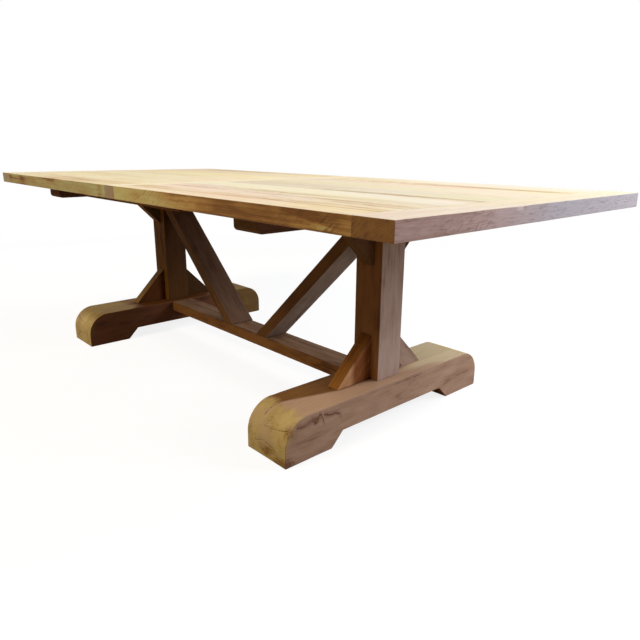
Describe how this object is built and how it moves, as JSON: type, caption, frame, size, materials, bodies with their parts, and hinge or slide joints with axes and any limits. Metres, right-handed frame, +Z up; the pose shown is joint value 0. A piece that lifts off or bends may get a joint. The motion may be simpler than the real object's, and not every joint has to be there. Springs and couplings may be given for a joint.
{
  "type": "outdoor dining table",
  "caption": "Rectangular solid-wood trestle dining table for outdoors: plank top with end boards, posts on arched sled feet, gussets, low stretcher and slanted braces",
  "frame": {"origin": "on the floor under the middle of the table top", "axes": "+X along the table's length, +Y across it to the back, +Z up"},
  "size_m": [2.5, 1.166, 0.76],
  "materials": {
    "top_teak": "untreated planed teak, bleached golden",
    "frame_teak": "untreated sawn and planed teak, brown",
    "joinery_wood": "hardwood dowels and tongues",
    "steel_fixings": "stainless screws and bolts"
  },
  "bodies": {
    "root": {"end_board_right": "top_teak", "plank_right_1": "top_teak", "plank_right_2": "top_teak", "plank_right_3": "top_teak", "plank_right_4": "top_teak", "plank_right_5": "top_teak", "plank_right_6": "top_teak", "plank_right_7": "top_teak", "end_board_left": "top_teak", "plank_left_1": "top_teak", "plank_left_2": "top_teak", "plank_left_3": "top_teak", "plank_left_4": "top_teak", "plank_left_5": "top_teak", "plank_left_6": "top_teak", "plank_left_7": "top_teak", "centre_board": "top_teak", "cleat_front": "frame_teak", "cleat_back": "frame_teak", "bearer_right": "frame_teak", "post_right": "frame_teak", "foot_right": "frame_teak", "brace_right": "frame_teak", "lower_gusset_right_front": "frame_teak", "upper_gusset_right_front": "frame_teak", "lower_gusset_right_back": "frame_teak", "upper_gusset_right_back": "frame_teak", "bearer_left": "frame_teak", "post_left": "frame_teak", "foot_left": "frame_teak", "brace_left": "frame_teak", "lower_gusset_left_front": "frame_teak", "upper_gusset_left_front": "frame_teak", "lower_gusset_left_back": "frame_teak", "upper_gusset_left_back": "frame_teak", "stretcher": "frame_teak", "plank_splines_right": "joinery_wood", "end_dowels_right": "joinery_wood", "top_screws_right": "steel_fixings", "plank_splines_left": "joinery_wood", "end_dowels_left": "joinery_wood", "top_screws_left": "steel_fixings", "centre_dowels": "joinery_wood", "lower_gusset_dowels": "joinery_wood", "upper_gusset_dowels": "joinery_wood", "brace_head_dowels": "joinery_wood", "brace_foot_dowels": "joinery_wood", "cleat_screws_front": "steel_fixings", "cleat_screws_back": "steel_fixings", "foot_bolts": "steel_fixings", "bearer_bolts": "steel_fixings", "stretcher_bolts": "steel_fixings"}
  },
  "joints": []
}
